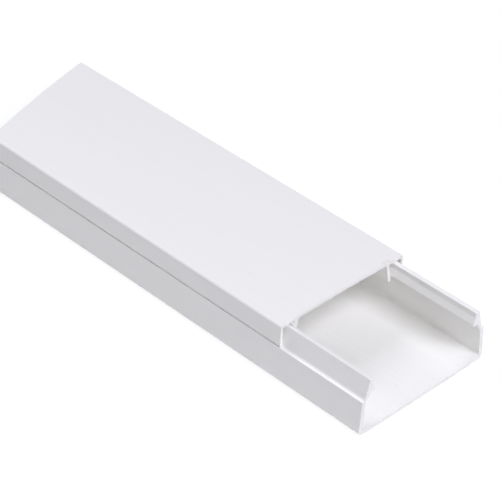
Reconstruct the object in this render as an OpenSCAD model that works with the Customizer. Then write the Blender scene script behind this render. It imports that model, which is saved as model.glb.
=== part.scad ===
// Mini cable trunking: an extruded channel with snap arms and the lid that clips over them.
// X runs across the channel, Y along it and Z up. The origin is under the middle of the channel.
// The end at -Y is sawn square and shows the open section. The lid stands back from it.

/* [Cut length] */
// Length of the channel along its longer side
channel_l = 136; // [100:1:3000]
// Distance from the channel's square end to the lid's square end
lid_setback = 24.6; // [0:0.1:50]
// Angle of the far saw cut away from square, in degrees
far_cut_angle = 17; // [0:0.5:40]

/* [Channel] */
// Width across the foot, to the sharp corners
channel_w = 40; // [25:0.5:100]
// Height of the closed trunking, from the underside to the top of the lid
closed_h = 16; // [12:0.5:60]
// Thickness of the floor
floor_t = 1; // [0.8:0.1:2]
// Width of the level strip along the middle of the floor
floor_flat = 16; // [8:0.5:20]
// Rise of the floor from its level strip to the feet of the walls
floor_bow = 0.4; // [0:0.1:0.8]
// Thickness of the side walls
wall_t = 1; // [0.8:0.1:1.4]
// Lean of each wall towards the middle between its foot and the ledge
wall_lean = 0.65; // [0:0.05:1.5]
// Rounding of the outer foot corners
foot_r = 1.2; // [0.2:0.1:2]
// Fillet between the floor and the walls
floor_r = 1; // [0.2:0.1:2]
// Distance between the two drilling guide grooves in the floor
guide_spacing = 1.8; // [1:0.1:4]
// Width of a guide groove
guide_w = 0.4; // [0.2:0.05:0.6]
// Depth of a guide groove
guide_d = 0.05; // [0.03:0.01:0.3]

/* [Snap arms] */
// Height left open between the ledge and the foot of the lid's skirt
ledge_gap = 0.95; // [0.5:0.05:1.6]
// Width of the ledge on top of each wall, to the sharp corner at the foot of the arm
ledge_w = 0.65; // [0.4:0.05:0.9]
// Fillet between the ledge and the arm
ledge_r = 0.75; // [0.1:0.05:1]
// Rounding of the ledge's outer edge
rim_r = 0.12; // [0.05:0.01:0.3]
// Thickness of the arms
arm_t = 1.2; // [0.8:0.05:1.4]
// Lean of the arms towards the middle, in degrees
arm_lean = 13; // [5:0.5:18]
// Rounding of the outer edge of an arm's top
arm_r = 0.15; // [0.05:0.05:0.4]
// Height of the upright lip on the inside of an arm's top
lip_h = 1; // [0.4:0.1:1.6]
// Height of the barb's underside above the ledge, at its tip
barb_up = 2.35; // [1.8:0.05:2.7]
// Height of the barb's blunt nose
barb_nose = 0.45; // [0.2:0.05:0.7]
// How far the barb reaches in from the lip
barb_reach = 0.65; // [0.3:0.05:1.2]
// Drop of the barb's underside from its tip to its root
barb_drop = 0.35; // [0.05:0.05:0.7]
// Rounding of the barb's nose
nose_r = 0.22; // [0.05:0.01:0.3]
// Depth below the ledge at which the wall's inner face bends in towards the barb
bend_drop = 0.45; // [0.2:0.05:1]

/* [Lid] */
// Height of the lid from the feet of its skirts to its top
lid_h = 5.8; // [5:0.1:8]
// Thickness of the cover plate
lid_t = 0.95; // [0.7:0.05:1.2]
// Rise of the cover plate from its long edges to its middle
lid_crown = 0.4; // [0:0.1:1]
// How far the lid stands out past the ledges
lid_proud = 0.1; // [0:0.05:0.4]
// Thickness of the skirts below the cover plate
skirt_t = 0.65; // [0.5:0.05:0.9]
// Height over which a skirt thickens towards its foot
skirt_taper = 2.5; // [1:0.1:3]
// Rounding of the lid's long outer edges
lid_r = 0.6; // [0.2:0.05:1]
// Thickness of the legs
leg_t = 0.85; // [0.6:0.05:1]
// Splay of the legs away from the middle, in degrees
leg_splay = 12; // [7:0.5:14]
// Length of a leg below the barb's underside
leg_past = 1.8; // [1.3:0.05:2.2]

/* [Fit and edges] */
// Clearance between the lid and the channel
fit_gap = 0.15; // [0.1:0.05:0.3]
// Rounding of the small edges and inner corners of the snap section
edge_r = 0.12; // [0.05:0.01:0.2]

/* [Hidden] */
pvc_white = [0.93, 0.93, 0.95];

// Straight steps in each rounded corner of a section
arc_steps = 6;
// Straight steps from the middle of the crowned cover plate to its edge
crown_steps = 6;
// Straight steps from the floor's level strip to a wall
bow_steps = 4;
// Largest share of a section's edge that the rounded corners at its two ends take up together
edge_share = 0.96;

// Heights
skirt_foot_z = closed_h - lid_h;
ledge_z = skirt_foot_z - ledge_gap;
bend_z = ledge_z - bend_drop;
lid_edge_z = closed_h - lid_crown;
lid_under_z = lid_edge_z - lid_t;
arm_top_z = lid_under_z - fit_gap;
lip_low_z = arm_top_z - lip_h;
barb_z = ledge_z + barb_up;
barb_root_z = barb_z - barb_drop;
leg_foot_z = barb_z - leg_past;

// Distances from the middle plane
foot_x = channel_w / 2;
flat_x = floor_flat / 2;
floor_in_x = wall_in_x(floor_bow + floor_t);
rim_x = foot_x - wall_lean;
lip_x = arm_out_x(arm_top_z) - arm_t;
barb_x = lip_x - barb_reach;
barb_root_x = arm_out_x(barb_root_z) - arm_t;
lid_x = rim_x + lid_proud;
skirt_in_x = lid_x - skirt_t;
skirt_foot_in_x = arm_out_x(skirt_foot_z) + fit_gap;

// Saw cut at the far end
cut_reach = channel_l + channel_w;

// Inner face of a wall, outer face of an arm, and the two faces of a leg, at a height
function wall_in_x(z) = foot_x - wall_t - wall_lean * (z - floor_bow) / (ledge_z - floor_bow);
function arm_out_x(z) = rim_x - ledge_w - (z - ledge_z) * tan(arm_lean);
function leg_out_x(z) = barb_x - fit_gap + (barb_z - z) * tan(leg_splay);
function leg_in_x(z) = leg_out_x(z) - leg_t;

// Top of the crowned cover plate at a distance from the middle plane
function crown_z(x) = closed_h - lid_crown * pow(x / lid_x, 2);
leg_root_z = crown_z(leg_in_x(lid_under_z)) - lid_t;
leg_root_x = leg_in_x(leg_root_z);

// Corners of a crowned face lowered by a depth, half a step in from the middle plane and from its reach
function crowned(reach, depth) =
    [for (i = [0.5 : crown_steps]) let (x = reach * i / crown_steps) [x, crown_z(x) - depth, 0]];

// Underside of the bowed floor at a distance from the middle plane, past its level strip
function bow_z(x) = floor_bow * pow((x - flat_x) / (foot_x - flat_x), 2);

// Corners of a bowed face raised by a height, from the edge of the level strip to one step short of its reach
function bowed(reach, height) =
    [for (i = [0 : bow_steps - 1]) let (x = flat_x + (reach - flat_x) * i / bow_steps) [x, bow_z(x) + height, 0]];

// The same list from its last entry to its first
function backwards(list) = [for (i = [len(list) - 1 : -1 : 0]) list[i]];

// A vector turned by an angle
function turned(v, angle) = [v.x * cos(angle) - v.y * sin(angle), v.x * sin(angle) + v.y * cos(angle)];

// Points of the arc that rounds a corner between its two neighbours, all given as [x, z, radius].
// Where an edge is too short for both its roundings, they share it by their radii.
function corner_arc(before, corner, after) =
    let (
        at = [corner.x, corner.y],
        back = [before.x, before.y] - at,
        ahead = [after.x, after.y] - at,
        u = back / norm(back),
        v = ahead / norm(ahead),
        half_angle = acos(u * v) / 2,
        back_most = norm(back) * corner.z / (corner.z + before.z),
        ahead_most = norm(ahead) * corner.z / (corner.z + after.z),
        reach = min(corner.z / tan(half_angle), edge_share * back_most, edge_share * ahead_most),
        centre = at + (u + v) / norm(u + v) * reach / cos(half_angle),
        first = at + u * reach - centre,
        last = at + v * reach - centre,
        sweep = atan2(cross(first, last), first * last)
    )
    [for (i = [0 : arc_steps]) centre + turned(first, sweep * i / arc_steps)];

// Outline with its corners rounded, from corners given as [x, z, radius]. No radius keeps a corner as it is.
function rounded(corners) =
    let (n = len(corners))
    [
        for (i = [0 : n - 1])
            each corners[i].z == 0
                ? [[corners[i].x, corners[i].y]]
                : corner_arc(corners[(i + n - 1) % n], corners[i], corners[(i + 1) % n])
    ];

// Both sides of a section whose right side is given from its first corner to its last
function both_sides(right) =
    concat(right, [for (corner = backwards(right)) [-corner.x, corner.y, corner.z]]);

// Right side of the channel: under the bowed floor, up the outside, over the barbed arm, down the inside
// and back along the floor
channel_side = concat(
    bowed(foot_x, 0),
    [
        [foot_x, floor_bow, foot_r],
        [rim_x, ledge_z, rim_r],
        [arm_out_x(ledge_z), ledge_z, ledge_r],
        [arm_out_x(arm_top_z), arm_top_z, arm_r],
        [lip_x, arm_top_z, edge_r],
        [lip_x, lip_low_z, edge_r],
        [barb_x, barb_z + barb_nose, nose_r],
        [barb_x, barb_z, nose_r],
        [barb_root_x, barb_root_z, edge_r],
        [wall_in_x(bend_z), bend_z, edge_r],
        [floor_in_x, bow_z(floor_in_x) + floor_t, floor_r]
    ],
    backwards(bowed(floor_in_x, floor_t))
);

// Right side of the lid: over the crown, down the skirt, up its inside, round the splayed leg and back
// under the crown
lid_side = concat(
    crowned(lid_x, 0),
    [
        [lid_x, lid_edge_z, lid_r],
        [lid_x, skirt_foot_z, edge_r],
        [skirt_foot_in_x, skirt_foot_z, edge_r],
        [skirt_in_x, skirt_foot_z + skirt_taper, edge_r],
        [skirt_in_x, lid_under_z, edge_r],
        [leg_out_x(lid_under_z), lid_under_z, edge_r],
        [leg_out_x(leg_foot_z), leg_foot_z, edge_r],
        [leg_in_x(leg_foot_z), leg_foot_z, edge_r],
        [leg_root_x, leg_root_z, edge_r]
    ],
    backwards(crowned(leg_root_x, lid_t))
);

// Cutter for a guide groove, as wide as the groove at floor level and rising as far above it as it cuts below
module guide_groove() {
    polygon([[-guide_w, guide_d], [guide_w, guide_d], [0, -guide_d]]);
}

module channel_section() {
    difference() {
        polygon(rounded(both_sides(channel_side)));
        for (side = [-1, 1])
            translate([side * guide_spacing / 2, floor_t]) guide_groove();
    }
}

module lid_section() {
    polygon(rounded(both_sides(lid_side)));
}

// A section run along the trunking from a distance past the square end, then sawn off at the far end
module sawn_length(setback) {
    difference() {
        translate([0, channel_l / 2, 0])
            rotate([90, 0, 0])
                linear_extrude(channel_l - setback) children();
        far_offcut();
    }
}

// What the far saw cut takes away, turned about the end of the longer side
module far_offcut() {
    translate([foot_x, channel_l / 2, -closed_h / 2])
        rotate([0, 0, far_cut_angle])
            translate([-cut_reach, 0, 0])
                cube([2 * cut_reach, cut_reach, 2 * closed_h]);
}

// Floor, walls and barbed snap arms in one extrusion
module base_channel() {
    color(pvc_white) sawn_length(0) channel_section();
}

// Cover plate, skirts and splayed legs in one extrusion
module snap_lid() {
    color(pvc_white) sawn_length(lid_setback) lid_section();
}

base_channel();
snap_lid();
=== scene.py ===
# %% [markdown]
# # A short length of white cable trunking
#
# Cable trunking is the plastic duct that hides cables along a wall. It is two extrusions: a channel
# that is fixed to the wall, and a lid that snaps over the channel's barbed arms. Both are made by
# pushing soft PVC through a steel die, and both are then sawn to length.
#
# The frame holds the two solids at their real size. This lesson dresses them with eased corners,
# sawn edges, lines left by the die, a satin surface, a little dirt, and some painted shade and
# painted highlights. The object's sizes are written in millimetres, and MM turns them into metres,
# which Blender works in.

# %% Load the frame
import math

import bmesh
import bpy
from mathutils import Matrix, Vector, noise


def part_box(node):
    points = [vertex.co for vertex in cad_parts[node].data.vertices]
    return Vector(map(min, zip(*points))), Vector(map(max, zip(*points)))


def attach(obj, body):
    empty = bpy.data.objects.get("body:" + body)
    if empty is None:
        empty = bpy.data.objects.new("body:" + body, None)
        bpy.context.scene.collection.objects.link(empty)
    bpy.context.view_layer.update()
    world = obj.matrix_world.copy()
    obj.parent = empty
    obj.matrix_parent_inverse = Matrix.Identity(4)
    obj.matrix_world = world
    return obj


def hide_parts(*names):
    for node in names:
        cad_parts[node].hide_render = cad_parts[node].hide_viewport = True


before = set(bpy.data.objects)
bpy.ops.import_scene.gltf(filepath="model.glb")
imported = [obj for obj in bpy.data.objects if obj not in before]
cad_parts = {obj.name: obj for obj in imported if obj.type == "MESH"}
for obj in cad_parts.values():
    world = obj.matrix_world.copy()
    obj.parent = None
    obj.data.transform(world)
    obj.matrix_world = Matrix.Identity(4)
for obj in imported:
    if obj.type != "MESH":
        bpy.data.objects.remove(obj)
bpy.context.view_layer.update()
MM = 0.001

for name in sorted(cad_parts):
    low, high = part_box(name)
    print(name, "measures", [round(side / MM, 2) for side in high - low], "mm")

# %% [markdown]
# ## The camera
#
# The picture is taken from the front left and from above, with a long lens that keeps the edges
# nearly parallel. A camera can be turned by Euler angles, but a place to stand and a point to look at
# are easier to read and to change. The last touch is a roll of two degrees, as the real camera wasn't
# quite level.

# %% Stand the camera
CAMERA_PLACE = Vector((-278.71, -289.46, 298.51)) * MM
CAMERA_TARGET = Vector((16.33, 2.11, -6.71)) * MM
CAMERA_LENS = 152.74
CAMERA_ROLL = math.radians(1.98)
CAMERA_NEAR = 0.01

camera_data = bpy.data.cameras.new("camera")
camera_data.sensor_fit = "HORIZONTAL"
camera_data.lens = CAMERA_LENS
camera_data.clip_start = CAMERA_NEAR
camera = bpy.data.objects.new("camera", camera_data)
aim = (CAMERA_TARGET - CAMERA_PLACE).to_track_quat("-Z", "Y").to_matrix().to_4x4()
roll = Matrix.Rotation(CAMERA_ROLL, 4, "Z")
camera.matrix_world = Matrix.Translation(CAMERA_PLACE) @ aim @ roll
bpy.context.scene.collection.objects.link(camera)
bpy.context.scene.camera = camera
distance = (CAMERA_PLACE - CAMERA_TARGET).length / MM
print("camera stands", round(distance), "mm from the point that it looks at")

# %% [markdown]
# ## The section, read from the solid
#
# An extrusion is one outline run along a line, so its outline is all that has to be known. It could
# be typed in again, but then two copies would have to agree. The solid's square end already shows it:
# the faces that look along -Y are the sawn end, and the edges with an end face on one side only are
# its rim. Walking along that rim puts its points in order.

# %% Walk round a sawn end
END_FACING = 0.8
WELD = 0.001


def end_faces(solid, direction):
    """Faces of the sawn end that looks mostly along +Y (direction 1) or -Y (direction -1)."""
    return [face for face in solid.faces if face.normal.y * direction > END_FACING]


def rim_outline(faces):
    """Points (x, z) round a sawn end, in order."""
    inside = set(faces)
    edges = [edge for face in faces for edge in face.edges]
    rim = [edge for edge in edges if sum(face in inside for face in edge.link_faces) == 1]
    start = rim[0].verts[0]
    walk, last = [start], None
    while True:
        edge = next(e for e in walk[-1].link_edges if e in rim and e is not last)
        step = edge.other_vert(walk[-1])
        if step is start:
            return [Vector((vert.co.x, vert.co.z)) for vert in walk]
        walk.append(step)
        last = edge


def read_extrusion(node):
    """Outline, front Y and far cutting plane (a point and a normal) of an extruded solid."""
    solid = bmesh.new()
    solid.from_mesh(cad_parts[node].data)
    bmesh.ops.remove_doubles(solid, verts=solid.verts, dist=WELD * MM)
    front, far = end_faces(solid, -1), end_faces(solid, 1)
    outline = rim_outline(front)
    cut = (far[0].verts[0].co.copy(), far[0].normal.copy())
    front_y = front[0].verts[0].co.y
    solid.free()
    return outline, front_y, cut


for node in ("base_channel", "snap_lid"):
    outline, front_y, (cut_point, cut_normal) = read_extrusion(node)
    angle = math.degrees(math.atan2(-cut_normal.x, cut_normal.y))
    print(node, "has", len(outline), "corners; its far cut is turned", round(angle, 1), "degrees")

# %% [markdown]
# ## Easing the section
#
# A drawn section is never quite what leaves the die: hot plastic sags a little before it sets. The
# barbs hang a few tenths of a millimetre lower, the tops of the arms slope inwards, the lid droops at
# its long edges and its skirts come down to the ledges. Sculpting could do this, but naming a small
# box of the section and a shift for the corners in it keeps the change exact, and counting from the
# middle plane gives it to both sides. The corner between floor and wall is instead drawn towards one
# point, which makes its rounding tighter.

# %% Ease the corners
# Each ease is a box of the section, from the middle plane outwards and from the wall face up, and
# the shift outwards and up of the corners that lie in it.
EASES = {
    "base_channel": {
        "guide line": ((0.85, 0.95), (0.9, 1.0), (0.0, 0.07)),
        "rim of the ledge": ((19.2, 19.4), (9.1, 9.3), (0.08, 0.15)),
        "ledge": ((18.5, 19.2), (9.2, 9.9), (0.0, 0.15)),
        "barb root": ((16.9, 17.2), (11.1, 11.4), (0.0, -0.3)),
        "barb nose": ((15.5, 16.0), (11.5, 12.2), (0.0, -0.45)),
        "foot of the lip": ((16.2, 16.4), (13.4, 13.6), (0.0, -0.28)),
        "inner top of the arm": ((16.2, 16.5), (14.3, 14.6), (0.08, -0.1)),
        "outer top of the arm": ((17.3, 17.6), (14.3, 14.6), (-0.05, 0.08)),
    },
    "snap_lid": {
        "foot of the skirt": ((18.6, 19.5), (10.1, 10.4), (0.0, -0.38)),
        "long edge": ((18.8, 19.5), (15.0, 15.7), (0.0, -0.2)),
        "beside the edge": ((17.0, 18.5), (15.6, 15.7), (0.0, -0.15)),
        "outer third": ((14.0, 15.0), (15.7, 15.8), (0.0, -0.08)),
        "middle third": ((11.0, 12.0), (15.8, 15.9), (0.0, -0.05)),
        "inner third": ((8.0, 9.0), (15.9, 16.0), (0.0, -0.02)),
    },
}
FLOOR_CORNER = {
    "across": (17.8, 18.9), "up": (1.2, 2.4), "towards": (18.926, 1.332), "share": 0.4
}


def lies_in(x, z, across, up):
    """Whether a corner lies in a box of the section."""
    return across[0] < x < across[1] and up[0] < z < up[1]


def eased(point, eases):
    """A corner of the section, shifted by the ease whose box it lies in."""
    x, z = abs(point.x) / MM, point.y / MM
    if lies_in(x, z, FLOOR_CORNER["across"], FLOOR_CORNER["up"]):
        (goal_x, goal_z), share = FLOOR_CORNER["towards"], FLOOR_CORNER["share"]
        x, z = goal_x + share * (x - goal_x), goal_z + share * (z - goal_z)
        return Vector((math.copysign(x, point.x), z)) * MM
    for across, up, (shift_x, shift_z) in eases.values():
        if lies_in(x, z, across, up):
            return Vector((math.copysign(x + shift_x, point.x), z + shift_z)) * MM
    return point


for node, eases in EASES.items():
    outline = read_extrusion(node)[0]
    moved = sum(eased(point, eases) != point for point in outline)
    print(node, "has", moved, "of its", len(outline), "corners eased, by", len(eases), "boxes")

# %% [markdown]
# ## Rings along the length
#
# Blender could extrude a curve or use a Screw modifier, but neither of them breaks the edge of a sawn
# end or makes room for a small burr. Here each piece is a stack of rings, each of them the whole
# section. They stand a few millimetres apart, and closer together where the surface has to bend.

# %% Where the rings stand
RING_STEP = 4.0
CLOSE_RINGS = 4


def ring_stations(length, close_to=()):
    """Distances from the front end at which a ring stands, closer together round given places."""
    count = round(length / (RING_STEP * MM))
    spots = [length * i / count for i in range(1, count)]
    for place, half in close_to:
        spots += [place + half * k / CLOSE_RINGS for k in range(-CLOSE_RINGS, CLOSE_RINGS + 1)]
    return sorted(spots)


low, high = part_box("base_channel")
print("the channel takes", len(ring_stations(high.y - low.y)), "rings between its ends")

# %% [markdown]
# ## Broken edges
#
# A fine saw leaves an edge that is a little broken and was never filed. A Bevel modifier would break
# it by one even width. Drawing the first and the last ring in along the outline's own normals, by a
# few hundredths of a millimetre and a smooth noise, makes the width uneven. The noise depends on the
# place alone, so each run gives the same edge.

# %% Break the sawn edges
ARRIS = 0.03
ARRIS_GRAIN = 2.6
ARRIS_UNEVEN = 0.4
FRONT_SEED, FAR_SEED, LENGTH_SEED = 1, 5, 1


def corner_normals(outline):
    """Unit vectors that point out of the outline at each of its corners."""
    count = len(outline)
    turn = sum(outline[i - 1].cross(outline[i]) for i in range(count))
    normals = []
    for i in range(count):
        along = (outline[(i + 1) % count] - outline[i - 1]).normalized()
        normals.append(Vector((along.y, -along.x)) * math.copysign(1, turn))
    return normals


def arris_at(point, seed):
    """How far the saw has broken the edge at a point of the section."""
    place = Vector((point.x, point.y, 0)) / MM * ARRIS_GRAIN + Vector((0, 0, seed))
    return ARRIS * MM * (1 + ARRIS_UNEVEN * noise.noise(place))


widths = [arris_at(point, FRONT_SEED) / MM for point in read_extrusion("base_channel")[0]]
print("the channel's front edge is broken by", round(min(widths), 3), "to", round(max(widths), 3), "mm")

# %% [markdown]
# ## From rings to a piece
#
# A mesh can be filled in with lists of numbers, but BMesh lets a script add one vertex or face at a
# time, which suits a stack. Each ring is joined to the next by quads, and one flat face closes each
# end. Turning all faces outwards at the end saves thinking about which way each of them was drawn.

# %% Join the rings
def stack(name, rings):
    """A closed piece from rings of points: quads between them and a flat face at each end."""
    mesh = bmesh.new()
    rings = [[mesh.verts.new(spot) for spot in ring] for ring in rings]
    for here, there in zip(rings, rings[1:]):
        for i in range(len(here)):
            mesh.faces.new((here[i - 1], here[i], there[i], there[i - 1]))
    mesh.faces.new(rings[0])
    mesh.faces.new(rings[-1])
    bmesh.ops.recalc_face_normals(mesh, faces=mesh.faces)
    data = bpy.data.meshes.new(name)
    mesh.to_mesh(data)
    mesh.free()
    piece = bpy.data.objects.new(name, data)
    bpy.context.scene.collection.objects.link(piece)
    print(name, "has", len(data.polygons), "faces in", len(rings), "rings")
    return piece


print("each ring of the channel is joined to the next by", len(widths), "quads")

# %% [markdown]
# ## The two extrusions
#
# Channel and lid are the same kind of thing: a section with a square front end and a far end that was
# sawn at an angle. One function makes both, so that they can't drift apart. Cutting them with a
# Boolean would spoil the tidy quads, so each point of the section simply runs on until it meets the
# plane of the far cut. A small burr hangs from the barb on the right. It pulls the points near it by a
# bell-shaped share, so it grows out of the surface with no seam.

# %% Sweep both sections
BURR_SPREAD = 2
BARB_BURR = (Vector((15.68, -49.1, 11.18)) * MM, 0.42 * MM, Vector((0.06, 0, -0.4)) * MM)


def sweep(name, node, burrs=()):
    """The node's eased section from end to end, with burrs of (place, reach, shift) on it."""
    outline, front_y, (cut_point, cut_normal) = read_extrusion(node)
    outline = [eased(point, EASES[node]) for point in outline]
    normals = corner_normals(outline)
    slope = cut_normal.x / cut_normal.y
    far = [cut_point.y - slope * (point.x - cut_point.x) for point in outline]
    broken = [arris_at(point, LENGTH_SEED) for point in outline]

    def drawn_in(seed):
        return [point - normal * arris_at(point, seed) for point, normal in zip(outline, normals)]

    def burred(spot):
        for place, reach, shift in burrs:
            spot = spot + shift * math.exp(-((spot - place).length / reach) ** 2)
        return spot

    def ring(points, along):
        return [burred(Vector((point.x, y, point.y))) for point, y in zip(points, along)]

    length = max(far) - front_y
    close_to = [(place.y - front_y, BURR_SPREAD * reach) for place, reach, shift in burrs]
    shares = [spot / length for spot in ring_stations(length, close_to)]
    rings = [ring(drawn_in(FRONT_SEED), [front_y] * len(outline))]
    rings.append(ring(outline, [front_y + width for width in broken]))
    rings += [ring(outline, [front_y + share * (y - front_y) for y in far]) for share in shares]
    rings.append(ring(outline, [y - width for y, width in zip(far, broken)]))
    rings.append(ring(drawn_in(FAR_SEED), far))
    return stack(name, rings)


channel = sweep("channel_extrusion", "base_channel", [BARB_BURR])
lid = sweep("lid_extrusion", "snap_lid")

# %% [markdown]
# ## Standing in for the solids
#
# Each extrusion stands for one solid of the frame: it rides on that solid's body, so that the lid
# slides. An extruded side is smooth and its corners are crisp.
# Plain smooth shading would smear light over the flat faces, so edges above an angle stay sharp and a
# Weighted Normal modifier lets the large faces lead. The two guide lines in the channel's floor are so
# low that this would hide them, so their narrow faces are shaded flat.

# %% Ride and shade
SHARP_FROM = 35
LARGE_FACES_LEAD = 100
GUIDE_LINE_BOX = {"across": (0.7, 1.1), "up": (0.9, 1.1)}


def soften(piece):
    """Smooth shading that keeps flat faces flat and leaves sharp edges as they are."""
    piece.data.shade_smooth()
    piece.data.set_sharp_from_angle(angle=math.radians(SHARP_FROM))
    weighted = piece.modifiers.new("flat_faces_lead", "WEIGHTED_NORMAL")
    weighted.keep_sharp = True
    weighted.weight = LARGE_FACES_LEAD


def crisp(piece, across, up):
    """Flat shading for the faces in a box of the section; says how many they are."""
    spots = [(face, face.center / MM) for face in piece.data.polygons]
    narrow = [face for face, spot in spots if lies_in(abs(spot.x), spot.z, across, up)]
    for face in narrow:
        face.use_smooth = False
    return len(narrow)


for piece, node, body in ((channel, "base_channel", "channel"), (lid, "snap_lid", "lid")):
    soften(piece)
    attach(piece, body)
    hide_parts(node)
    print(piece.name, "stands for", node, "and rides on", body)
print("guide lines:", crisp(channel, **GUIDE_LINE_BOX), "faces are shaded flat")

# %% [markdown]
# ## A flake left by the saw
#
# At the lid's near corner the saw has left a thin flake of plastic between the plate and the leg.
# Painting it on isn't possible, as there is nothing behind it but a dark gap, so it is a small plate
# of its own: a torn outline, pushed back along Y and let into the plate and the leg that carry it.

# %% Tear the flake
FLAKE_TOP = ((-14.95, 14.72), (-16.2, 14.72))
FLAKE_TORN = ((-16.2, 14.2), (-15.1, 13.0))
FLAKE_DEPTH = (-43.38, -43.2)
TEAR_STEPS = 12
TEAR_WIDTH = 0.12
TEAR_WAVES = 5
TEAR_GRAIN = (0.4, 2.7)


def torn_edge(start, end):
    """Points along a line, shifted from it by an uneven tear."""
    start, end = Vector(start), Vector(end)
    aside = Vector((start.y - end.y, end.x - start.x)).normalized()
    points = []
    for step in range(TEAR_STEPS + 1):
        share = step / TEAR_STEPS
        wave = noise.noise(Vector((share * TEAR_WAVES, *TEAR_GRAIN)))
        tear = wave * TEAR_WIDTH * math.sin(math.pi * share)
        points.append(start.lerp(end, share) + aside * tear)
    return points


flake_outline = [Vector(point) for point in FLAKE_TOP] + torn_edge(*FLAKE_TORN)
flake_rings = [[Vector((p.x, y, p.y)) * MM for p in flake_outline] for y in FLAKE_DEPTH]
flake = stack("saw_flake", flake_rings)
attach(flake, "lid")
print("the flake is", round(FLAKE_DEPTH[1] - FLAKE_DEPTH[0], 2), "mm thick")

# %% [markdown]
# ## Tools for the finish
#
# A material is a graph of nodes. It could be wired by hand in the shader editor, but a script that
# names each node once is easier to change. One function adds a node with its settings and links, and
# a few small ones add the kinds of node that come back again and again.

# %% Node helpers
# The Mix node has sockets for each kind of value: two to mix, and one for the result.
MIX_NUMBERS = (2, 3, 0)
MIX_COLOURS = (6, 7, 2)


def node_tools(owner):
    """A function that adds a node with its settings and links, for one material or world."""
    owner.use_nodes = True
    tree = owner.node_tree
    tree.nodes.clear()

    def add(kind, inputs=None, **settings):
        node = tree.nodes.new(kind)
        for key, value in settings.items():
            setattr(node, key, value)
        for key, value in (inputs or {}).items():
            if isinstance(value, bpy.types.NodeSocket):
                tree.links.new(value, node.inputs[key])
            else:
                node.inputs[key].default_value = value
        return node

    return add


def fade(add, value, start, end, low=0.0, high=1.0):
    """A value spread from one range to another, held at the ends."""
    spread = {"Value": value, "From Min": start, "From Max": end, "To Min": low, "To Max": high}
    return add("ShaderNodeMapRange", spread).outputs["Result"]


def maths(add, operation, first, second=0.0):
    """A sum, product or other operation on one or two numbers."""
    return add("ShaderNodeMath", {0: first, 1: second}, operation=operation).outputs[0]


def mix_numbers(add, share, first, second):
    """A number that goes from the first to the second as the share grows."""
    a, b, result = MIX_NUMBERS
    sockets = {0: share, a: first, b: second}
    return add("ShaderNodeMix", sockets, data_type="FLOAT").outputs[result]


def mix_colours(add, share, first, second):
    """A colour that goes from the first to the second as the share grows."""
    a, b, result = MIX_COLOURS
    ends = [end if isinstance(end, bpy.types.NodeSocket) else (*end, 1) for end in (first, second)]
    sockets = {0: share, a: ends[0], b: ends[1]}
    return add("ShaderNodeMix", sockets, data_type="RGBA").outputs[result]


helpers = (node_tools, fade, maths, mix_numbers, mix_colours)
print("node helpers:", [helper.__name__ for helper in helpers])

# %% [markdown]
# ## Patterns in the plastic
#
# The plastic is a satin white with no texture of its own, and a plain white shader would look like a
# toy. What makes it look extruded is fine: lines along the length where the die has a scratch, slow
# changes of gloss, a very fine grain, and the marks of the saw's teeth on the ends. All four are the
# same noise, stretched differently. It is worked out from where a point lies on the piece, so no
# picture is needed and nothing has to be unwrapped.

# %% Stretch the noise
# Scales are changes to the millimetre along X, Y and Z.
DIE_LINES = {"scale": (1.6, 0.012, 1.6), "detail": 3.0}
GLOSS_CLOUDS = {"scale": (0.07, 0.035, 0.07), "detail": 2.0}
FINE_GRAIN = {"scale": (5.0, 3.0, 5.0), "detail": 2.0}
SAW_TEETH = {"scale": (0.4, 0.4, 3.0), "detail": 2.0}


def streaks(add, place, scale, detail):
    """Noise stretched by a scale in each direction."""
    stretched = add("ShaderNodeVectorMath", {0: place, 1: scale}, operation="MULTIPLY").outputs[0]
    texture = {"Vector": stretched, "Scale": 1.0, "Detail": detail}
    return add("ShaderNodeTexNoise", texture).outputs["Fac"]


across, along = DIE_LINES["scale"][:2]
print("die lines are about", round(1 / across, 1), "mm wide and", round(1 / along), "mm long")

# %% [markdown]
# ## Dirt, painted shade and painted highlights
#
# A sawn and handled piece isn't spotless. Specks of dust lie in the channel and at the cuts, and the
# lid's edge has a faint stain. A few dark spots are painted shade, where small pits and a burr hold
# shadow, and light streaks beside the two guide lines are painted highlights for the flanks that catch
# the light.
# Texture paint could do it, but measuring how far a point is from a named place stays sharp at any size
# and can be moved by changing one number.

# %% Marks by distance
MARK_CORE = 0.4
# Painted highlights beside the guide lines: how far they reach, and the height below which they lie on
# the floor.
PAINTED_HIGHLIGHT_WIDTH = (0.05, 0.22)
PAINTED_HIGHLIGHT_HEIGHT = (1.1, 1.2)


def strongest(add, shares):
    """The highest of several shares."""
    total = shares[0]
    for share in shares[1:]:
        total = maths(add, "MAXIMUM", total, share)
    return total


def marked(add, place, marks):
    """How strongly round marks, each a (place, reach, strength), show at a point."""
    shares = []
    for spot, reach, strength in marks:
        away = add("ShaderNodeVectorMath", {0: place, 1: spot}, operation="DISTANCE")
        distance = away.outputs["Value"]
        shares.append(fade(add, distance, MARK_CORE * reach, reach, strength, 0.0))
    return strongest(add, shares)


def painted_guide_highlights(add, place, lines):
    """How strongly the painted highlights beside the guide lines, at distances across the floor, show
    at a point.
    """
    apart = add("ShaderNodeSeparateXYZ", {0: place})
    shares = []
    for line in lines:
        away = maths(add, "ABSOLUTE", maths(add, "SUBTRACT", apart.outputs["X"], line))
        shares.append(fade(add, away, *PAINTED_HIGHLIGHT_WIDTH, 1.0, 0.0))
    on_floor = fade(add, apart.outputs["Z"], *PAINTED_HIGHLIGHT_HEIGHT, 1.0, 0.0)
    return maths(add, "MULTIPLY", strongest(add, shares), on_floor)


print("streaks fade out", PAINTED_HIGHLIGHT_WIDTH[1], "mm from a guide line")
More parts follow.
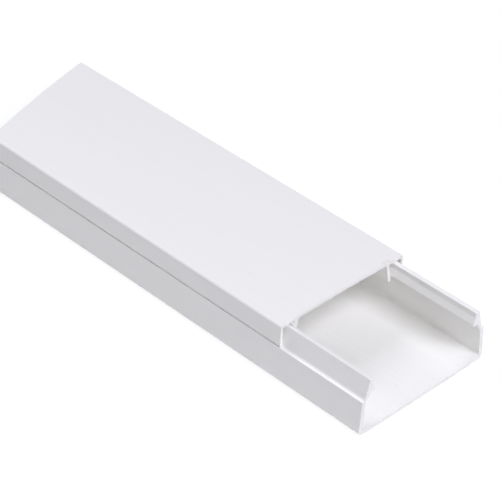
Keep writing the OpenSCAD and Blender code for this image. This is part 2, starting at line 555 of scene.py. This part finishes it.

# %% [markdown]
# ## Colour
#
# The cuts are painted greyer than the skin that the die leaves. This is painted shade: the sawn ends
# catch less light than the top, and their face, roughened by the saw, holds small shadows. Two
# materials could be given to two sets of faces, but one material that is told which part is sawn keeps
# the border soft where the edge is broken. Dust, stain, painted shade spots and painted highlights are
# laid over both.

# %% Colours of skin and cut
SKIN = (0.909, 0.896, 0.857)
SKIN_STREAK = (0.895, 0.882, 0.844)
# A painted highlight: light streaks beside the guide lines stand in for the light that their flanks
# catch.
GUIDE_PAINTED_HIGHLIGHT = (0.93, 0.917, 0.88)
# Painted shade: the sawn ends are painted greyer than the skin, for the less light they catch and the
# small shadows of their rough face; the saw marks on them are darker still.
SAWN_SHADE = (0.77, 0.755, 0.727)
SAWN_MARK_SHADE = (0.755, 0.74, 0.713)
# The colour of dust, and of the dark spots painted as shade.
DIRT_AND_SHADE = (0.42, 0.39, 0.35)
STAIN = (0.78, 0.70, 0.56)
LINE_RANGE = (0.35, 0.75)
TOOTH_RANGE = (0.4, 0.8)


def pvc_colour(add, place, sawn, lines, teeth, dark_spots, stains, guide_highlights):
    """White skin with die lines and painted highlights beside the guide lines, cuts painted greyer as
    shade with saw marks, and dust and painted shade spots over both.
    """
    colour = mix_colours(add, fade(add, lines, *LINE_RANGE), SKIN, SKIN_STREAK)
    # The painted highlight beside the guide lines.
    if guide_highlights:
        colour = mix_colours(add, painted_guide_highlights(add, place, guide_highlights), colour, GUIDE_PAINTED_HIGHLIGHT)
    # The cuts, painted greyer as shade, with saw marks.
    cut = mix_colours(add, fade(add, teeth, *TOOTH_RANGE), SAWN_SHADE, SAWN_MARK_SHADE)
    colour = mix_colours(add, sawn, colour, cut)
    # Dust, and a few dark spots that are painted shade in small pits and under a burr.
    colour = mix_colours(add, marked(add, place, dark_spots), colour, DIRT_AND_SHADE)
    if stains:
        colour = mix_colours(add, marked(add, place, stains), colour, STAIN)
    return colour


print("the cut is", round(SAWN_SHADE[1] / SKIN[1], 2), "times as bright as the skin")

# %% [markdown]
# ## Gloss and relief
#
# Light slides along extruded plastic in a soft band that is never quite even. Roughness that changes
# slowly gives the uneven gloss. The die lines and the saw marks are far too fine to model, so a bump
# of a few hundredths of a millimetre stands for them.

# %% Roughness and bump
GLOSS_RANGE = (0.3, 0.7)
SKIN_ROUGHNESS = (0.46, 0.56)
SAWN_ROUGHNESS = (0.55, 0.75)
GRAIN_HEIGHT = 0.25
TEETH_HEIGHT = 0.3
RELIEF = 0.02
RELIEF_STRENGTH = 0.35


def pvc_roughness(add, sawn, clouds, teeth):
    """Satin on the skin and duller on the cuts."""
    skin = fade(add, clouds, *GLOSS_RANGE, *SKIN_ROUGHNESS)
    cut = fade(add, teeth, *GLOSS_RANGE, *SAWN_ROUGHNESS)
    return mix_numbers(add, sawn, skin, cut)


def pvc_relief(add, sawn, lines, grain, teeth):
    """A bump of die lines and grain on the skin, and of saw marks on the cuts."""
    skin = maths(add, "ADD", lines, maths(add, "MULTIPLY", grain, GRAIN_HEIGHT))
    height = mix_numbers(add, sawn, skin, maths(add, "MULTIPLY", teeth, TEETH_HEIGHT))
    bump = {"Strength": RELIEF_STRENGTH, "Distance": RELIEF * MM, "Height": height}
    return add("ShaderNodeBump", bump).outputs[0]


print("roughness is", SKIN_ROUGHNESS, "on the skin and", SAWN_ROUGHNESS, "on the cuts")

# %% [markdown]
# ## Where the dirt and the painted shade lie
#
# Each mark has a place on the piece, a reach and a strength. The places are read off one real piece,
# so the dust keeps to where it gathers: the channel's floor, the foot of the walls, and the sawn edges,
# where swarf clings. Three dark spots are painted shade: two small pits in the lid's cut near its near
# corner, and a spot under a small burr at the near arm's end.

# %% List the marks
FLOOR_SPECKS = [
    ((-2.1, -62.5, 1.0), 0.22, 0.35),
    ((-11.4, -65.3, 1.05), 0.2, 0.25),
    ((-3.2, -64.9, 1.0), 0.16, 0.2),
    ((-4.0, -67.4, 1.0), 0.18, 0.3),
    ((-5.8, -67.6, 1.0), 0.18, 0.3),
    ((-5.6, -67.0, 1.0), 0.15, 0.2),
]
WALL_DUST_AND_SHADE = [
    ((18.6, -65.2, 3.6), 0.25, 0.25),
    ((15.9, -54.2, 11.7), 0.2, 0.25),
    # Painted shade: a dark spot where a small burr at the near arm's end throws shade.
    ((-18.41, -67.1, 10.48), 0.4, 0.16),
]
CUT_SPECKS = [
    ((8.2, -68.0, 1.0), 0.3, 0.2),
    ((6.9, -68.0, 0.85), 0.25, 0.15),
    ((13.6, -68.0, 0.6), 0.25, 0.18),
]
LID_DUST_AND_SHADE = [
    # Painted shade: the two dark dots at the lid's near corner are small pits in the cut, dark because
    # they hold shadow.
    ((-16.58, -43.4, 14.7), 0.3, 0.8),
    ((-15.57, -43.4, 14.68), 0.3, 0.8),
    ((-7.2, -7.9, 15.95), 0.4, 0.08),
    ((-11.5, -25.8, 15.86), 0.4, 0.1),
]
LID_STAINS = [((x, -42.9, 15.78), 0.75, 0.3) for x in (13.5, 14.2, 14.9)]
CHANNEL_DUST_AND_SHADE = FLOOR_SPECKS + WALL_DUST_AND_SHADE + CUT_SPECKS
# Where the painted highlights run across the floor, beside the guide lines.
PAINTED_HIGHLIGHT_LINES = (-1.22, 0.58)

print(len(CHANNEL_DUST_AND_SHADE), "specks on the channel and", len(LID_DUST_AND_SHADE), "on the lid")

# %% [markdown]
# ## White PVC
#
# Now the parts of the finish come together in one shader. The sawn ends are told from the skin by
# their normals, which look along Y. Numbers that are the same all over, such as the index of
# refraction, are set on the shader itself. The flake was torn from the lid, so it shares the lid's
# material.

# %% Give the pieces their finish
SAWN_FACING = (0.6, 0.8)
PVC_IOR = 1.53
PVC_SPECULAR = 0.3


def white_pvc(name, dark_spots, stains=(), guide_highlights=()):
    """Satin white PVC with the given dust and painted shade spots, stains, and painted highlights
    beside the guide lines.
    """
    material = bpy.data.materials.new(name)
    add = node_tools(material)
    where = add("ShaderNodeTexCoord")
    to_mm = {0: where.outputs["Object"], "Scale": 1 / MM}
    place = add("ShaderNodeVectorMath", to_mm, operation="SCALE").outputs[0]
    facing = add("ShaderNodeSeparateXYZ", {0: where.outputs["Normal"]})
    sawn = fade(add, maths(add, "ABSOLUTE", facing.outputs["Y"]), *SAWN_FACING)
    patterns = (DIE_LINES, GLOSS_CLOUDS, FINE_GRAIN, SAW_TEETH)
    lines, clouds, grain, teeth = (streaks(add, place, **pattern) for pattern in patterns)
    surface = {
        "Base Color": pvc_colour(add, place, sawn, lines, teeth, dark_spots, stains, guide_highlights),
        "Roughness": pvc_roughness(add, sawn, clouds, teeth),
        "Normal": pvc_relief(add, sawn, lines, grain, teeth),
        "IOR": PVC_IOR,
        "Specular IOR Level": PVC_SPECULAR,
    }
    shader = add("ShaderNodeBsdfPrincipled", surface)
    add("ShaderNodeOutputMaterial", {"Surface": shader.outputs[0]})
    print(name, "is a graph of", len(material.node_tree.nodes), "nodes")
    return material


channel_pvc = white_pvc("channel_white_pvc", CHANNEL_DUST_AND_SHADE, guide_highlights=PAINTED_HIGHLIGHT_LINES)
lid_pvc = white_pvc("lid_white_pvc", LID_DUST_AND_SHADE, LID_STAINS)
for piece, material in ((channel, channel_pvc), (lid, lid_pvc), (flake, lid_pvc)):
    piece.data.materials.append(material)

# %% [markdown]
# ## A pale floor
#
# The object lies on a white table in a studio. A curved backdrop would do for one view, but a wide
# flat floor serves every view. To the camera it is white, with the object's shadow still on it. To
# every other ray it is an ordinary pale surface, so that it throws light back up the walls as a white
# table does. Light Path tells the two apart.

# %% Lay the floor
FLOOR_HALF = 1.5
FLOOR_WHITE = 0.88
FLOOR_SHADOW = 0.16
FLOOR_MATT = (0.86, 0.86, 0.855)

floor_mesh = bpy.data.meshes.new("floor")
corners = [(x * FLOOR_HALF, y * FLOOR_HALF, 0) for x, y in ((-1, -1), (1, -1), (1, 1), (-1, 1))]
floor_mesh.from_pydata(corners, [], [(0, 1, 2, 3)])
floor = bpy.data.objects.new("floor", floor_mesh)
bpy.context.scene.collection.objects.link(floor)


def seen_directly(add):
    """1 for rays from the camera, and for mirrored or transmitted ones."""
    path = add("ShaderNodeLightPath")
    mirrored = maths(add, "MAXIMUM", path.outputs["Is Camera Ray"], path.outputs["Is Glossy Ray"])
    return maths(add, "MAXIMUM", mirrored, path.outputs["Is Transmission Ray"])


floor_paint = bpy.data.materials.new("pale_floor")
add = node_tools(floor_paint)
matt = add("ShaderNodeBsdfDiffuse", {"Color": (*FLOOR_MATT, 1)})
glow = add("ShaderNodeEmission", {"Strength": FLOOR_WHITE})
shade = add("ShaderNodeBsdfDiffuse", {"Color": (FLOOR_SHADOW, FLOOR_SHADOW, FLOOR_SHADOW, 1)})
bright = add("ShaderNodeAddShader", {0: glow.outputs[0], 1: shade.outputs[0]})
either = add("ShaderNodeMixShader", {0: seen_directly(add), 1: matt.outputs[0], 2: bright.outputs[0]})
add("ShaderNodeOutputMaterial", {"Surface": either.outputs[0]})
floor_mesh.materials.append(floor_paint)
print("the floor reaches", FLOOR_HALF, "m from the middle")

# %% [markdown]
# ## The world
#
# Behind the floor the camera sees plain white. As a lamp, a white world would light the object from
# all sides and take its shading away, so for every other ray the world is only a faint fill.

# %% A faint sky
STUDIO_WHITE = (0.97, 0.98, 1.083)
SKY_STRENGTH = 0.03

world = bpy.data.worlds.new("studio")
bpy.context.scene.world = world
add = node_tools(world)
white = add("ShaderNodeBackground", {"Color": (1, 1, 1, 1), "Strength": 1.0})
sky = add("ShaderNodeBackground", {"Color": (*STUDIO_WHITE, 1), "Strength": SKY_STRENGTH})
either = add("ShaderNodeMixShader", {0: seen_directly(add), 1: sky.outputs[0], 2: white.outputs[0]})
add("ShaderNodeOutputWorld", {"Surface": either.outputs[0]})
print("the sky lights the object at a strength of", SKY_STRENGTH)

# %% [markdown]
# ## Softboxes
#
# The light is that of a small studio: a wide softbox in front and above, a weaker one lower on the
# left, and one behind, for which the lid throws a soft shade across the open floor. Spot or sun lamps
# would draw hard shadows. Square area lamps are softboxes, and placing them by angles round the object
# keeps them aimed at it. The Standard view shows each colour about as it is written.

# %% Hang the softboxes
SOFTBOX_AWAY = 2.0
SOFTBOX_SIZE = 1.0
LEFT_WHITE = (0.974, 0.98, 1.06)
SOFTBOXES = {
    "front_softbox": {"turn": 0, "rise": 50, "power": 25.8, "colour": STUDIO_WHITE},
    "left_softbox": {"turn": -30, "rise": 30, "power": 14.9, "colour": LEFT_WHITE},
    "back_softbox": {"turn": 180, "rise": 50, "power": 13.9, "colour": STUDIO_WHITE},
}


def softbox(name, turn, rise, power, colour):
    """A lamp that looks at the object, turned from the front to the right and risen, in degrees."""
    turn, rise = math.radians(turn), math.radians(rise)
    level = math.cos(rise)
    towards = Vector((math.sin(turn) * level, -math.cos(turn) * level, math.sin(rise)))
    data = bpy.data.lights.new(name, "AREA")
    data.size = SOFTBOX_SIZE
    data.energy = power
    data.color = colour
    lamp = bpy.data.objects.new(name, data)
    lamp.location = towards * SOFTBOX_AWAY
    lamp.rotation_euler = (-towards).to_track_quat("-Z", "Y").to_euler()
    bpy.context.scene.collection.objects.link(lamp)
    print(name, "stands", SOFTBOX_AWAY, "m away and gives", power, "W")


for name, settings in SOFTBOXES.items():
    softbox(name, **settings)
bpy.context.scene.view_settings.view_transform = "Standard"
